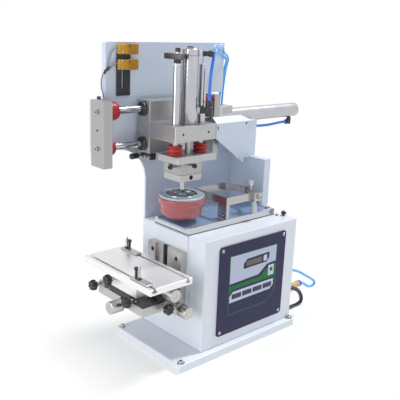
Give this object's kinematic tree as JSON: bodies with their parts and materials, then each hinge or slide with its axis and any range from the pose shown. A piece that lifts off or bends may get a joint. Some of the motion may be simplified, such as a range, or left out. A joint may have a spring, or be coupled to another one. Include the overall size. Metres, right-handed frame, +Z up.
{
  "type": "pad printing machine",
  "caption": "Bench pad printing machine: silicone pad on an air-driven head that slides on rails from an inked plate to a worktable with feed and lift knobs.",
  "frame": {"origin": "middle of the base plate's underside", "axes": "+Z up, -Y towards the worktable at the front, +X towards the side with the control panel"},
  "size_m": [0.2087, 0.5407, 0.5678],
  "materials": {
    "white_paint": "satin white powder coat",
    "navy_print": "printed film",
    "key_grey": "satin",
    "aluminium": "brushed",
    "polished_steel": "polished",
    "stainless": "brushed",
    "black_steel": "black oxide",
    "black_plastic": "satin",
    "red_rubber": "matt",
    "silicone": "satin",
    "sensor_amber": "semi-gloss",
    "blue_tube": "gloss",
    "cyan_tube": "gloss",
    "brass": "machined",
    "plate_blue": "etched, dark"
  },
  "bodies": {
    "frame": {"base_plate": "white_paint", "cabinet_shell": "white_paint", "control_panel": "navy_print", "side_wall": "white_paint", "rear_column": "white_paint", "rear_cover": "white_paint", "upper_panel": "white_paint", "sensor_bracket": "black_steel", "stroke_sensor_upper": "sensor_amber", "stroke_sensor_lower": "sensor_amber", "rail_plate_front": "aluminium", "rail_plate_rear": "aluminium", "rail_rod_upper": "polished_steel", "rail_rod_lower": "polished_steel", "bumper_front_upper": "red_rubber", "bumper_front_lower": "red_rubber", "bumper_rear_upper": "red_rubber", "shuttle_cylinder": "aluminium", "shuttle_air_tube": "blue_tube", "panel_air_line": "cyan_tube", "ink_tray": "stainless", "printing_plate": "plate_blue", "cup_holder": "stainless", "table_bracket": "aluminium", "air_inlet": "brass", "air_supply_tube": "cyan_tube", "cable_bundle": "black_plastic"},
    "head": {"carriage_housing": "aluminium", "head_block": "aluminium", "lift_cylinder": "aluminium", "lift_air_line": "blue_tube", "shuttle_piston_rod": "polished_steel"},
    "pad_slide": {"slide_plate": "aluminium", "lift_rod_front": "polished_steel", "lift_rod_rear": "polished_steel", "trip_bar": "black_steel", "buffer_front": "red_rubber", "buffer_rear": "red_rubber", "slide_block": "aluminium", "pad_holder": "aluminium", "pad_mount": "stainless", "silicone_pad": "silicone"},
    "knee_body": {"knee": "aluminium"},
    "cross_body": {"cross_slide": "black_steel"},
    "table_body": {"table_top": "aluminium"},
    "near_clamp": {"work_clamp_near": "aluminium"},
    "far_clamp": {"work_clamp_far": "aluminium"},
    "table_lock": {"table_lock_knob": "black_plastic"},
    "cross_lock": {"cross_lock_knob": "black_plastic"},
    "knee_lock_front": {"knee_lock_knob_front": "black_plastic"},
    "knee_lock_side": {"knee_lock_knob_side": "black_plastic"},
    "table_feed_handle": {"table_feed_knob": "aluminium"},
    "cross_feed_handle": {"cross_feed_knob": "aluminium"},
    "lift_handle": {"lift_knob": "aluminium"},
    "thumb_screw": {"cup_thumb_screw": "stainless"},
    "power_key": {"power_button": "black_plastic"},
    "key_1": {"panel_key_1": "key_grey"},
    "key_2": {"panel_key_2": "key_grey"},
    "key_3": {"panel_key_3": "key_grey"},
    "key_4": {"panel_key_4": "key_grey"}
  },
  "joints": [
    {"name": "head_travel", "type": "slide", "parent": "frame", "child": "head", "axis": [0, 1, 0], "range_m": [-0.054, 0.022]},
    {"name": "pad_lift", "type": "slide", "parent": "head", "child": "pad_slide", "axis": [0, 0, 1], "range_m": [-0.012, 0.0075], "deforming": ["silicone_pad"]},
    {"name": "knee_lift", "type": "slide", "parent": "frame", "child": "knee_body", "axis": [0, 0, 1], "range_m": [-0.02, 0.02]},
    {"name": "cross_feed", "type": "slide", "parent": "knee_body", "child": "cross_body", "axis": [0, 1, 0], "range_m": [-0.0085, 0.0085]},
    {"name": "table_feed", "type": "slide", "parent": "cross_body", "child": "table_body", "axis": [1, 0, 0], "range_m": [-0.025, 0.025]},
    {"name": "near_clamp_slide", "type": "slide", "parent": "table_body", "child": "near_clamp", "axis": [1, 0, 0], "range_m": [-0.12, 0.008]},
    {"name": "far_clamp_slide", "type": "slide", "parent": "table_body", "child": "far_clamp", "axis": [1, 0, 0], "range_m": [-0.01, 0.1]},
    {"name": "lift_knob_turn", "type": "hinge", "parent": "knee_body", "child": "lift_handle", "pos_m": [0.0483, -0.1251, 0.1021], "axis": [1, 0, 0], "range_deg": [-1800.5, 1800.5]},
    {"name": "cross_feed_turn", "type": "hinge", "parent": "knee_body", "child": "cross_feed_handle", "pos_m": [-0.009, -0.2009, 0.11085], "axis": [0, -1, 0], "range_deg": [-765.5, 765.5]},
    {"name": "table_feed_turn", "type": "hinge", "parent": "table_body", "child": "table_feed_handle", "pos_m": [0.0223, -0.1541, 0.1429], "axis": [1, 0, 0], "range_deg": [-2250.5, 2250.5]},
    {"name": "table_lock_turn", "type": "hinge", "parent": "table_body", "child": "table_lock", "pos_m": [-0.0445, -0.1994, 0.1479], "axis": [0, -1, 0], "continuous": true},
    {"name": "cross_lock_turn", "type": "hinge", "parent": "cross_body", "child": "cross_lock", "pos_m": [0.0145, -0.1999, 0.125], "axis": [0, -1, 0], "continuous": true},
    {"name": "knee_lock_front_turn", "type": "hinge", "parent": "knee_body", "child": "knee_lock_front", "pos_m": [-0.0905, -0.2009, 0.1221], "axis": [0, -1, 0], "continuous": true},
    {"name": "knee_lock_side_turn", "type": "hinge", "parent": "knee_body", "child": "knee_lock_side", "pos_m": [0.0443, -0.1546, 0.11085], "axis": [1, 0, 0], "continuous": true},
    {"name": "thumb_screw_turn", "type": "hinge", "parent": "frame", "child": "thumb_screw", "pos_m": [0.0239, 0.0772, 0.289], "axis": [0, 0, 1], "continuous": true},
    {"name": "key_1_press", "type": "slide", "parent": "frame", "child": "key_1", "axis": [1, 0, 0], "range_m": [-0.0006, 0], "stiffness_N_per_m": 300, "springref_m": 0.0008},
    {"name": "key_2_press", "type": "slide", "parent": "frame", "child": "key_2", "axis": [1, 0, 0], "range_m": [-0.0006, 0], "stiffness_N_per_m": 300, "springref_m": 0.0008},
    {"name": "key_3_press", "type": "slide", "parent": "frame", "child": "key_3", "axis": [1, 0, 0], "range_m": [-0.0006, 0], "stiffness_N_per_m": 300, "springref_m": 0.0008},
    {"name": "key_4_press", "type": "slide", "parent": "frame", "child": "key_4", "axis": [1, 0, 0], "range_m": [-0.0006, 0], "stiffness_N_per_m": 300, "springref_m": 0.0008},
    {"name": "power_press", "type": "slide", "parent": "frame", "child": "power_key", "axis": [1, 0, 0], "range_m": [-0.0006, 0], "stiffness_N_per_m": 300, "springref_m": 0.0008}
  ],
  "couplings": [
    {"joint": "lift_knob_turn", "follows": "knee_lift", "rad_per_m": 1570.8},
    {"joint": "cross_feed_turn", "follows": "cross_feed", "rad_per_m": 1570.8},
    {"joint": "table_feed_turn", "follows": "table_feed", "rad_per_m": 1570.8}
  ]
}
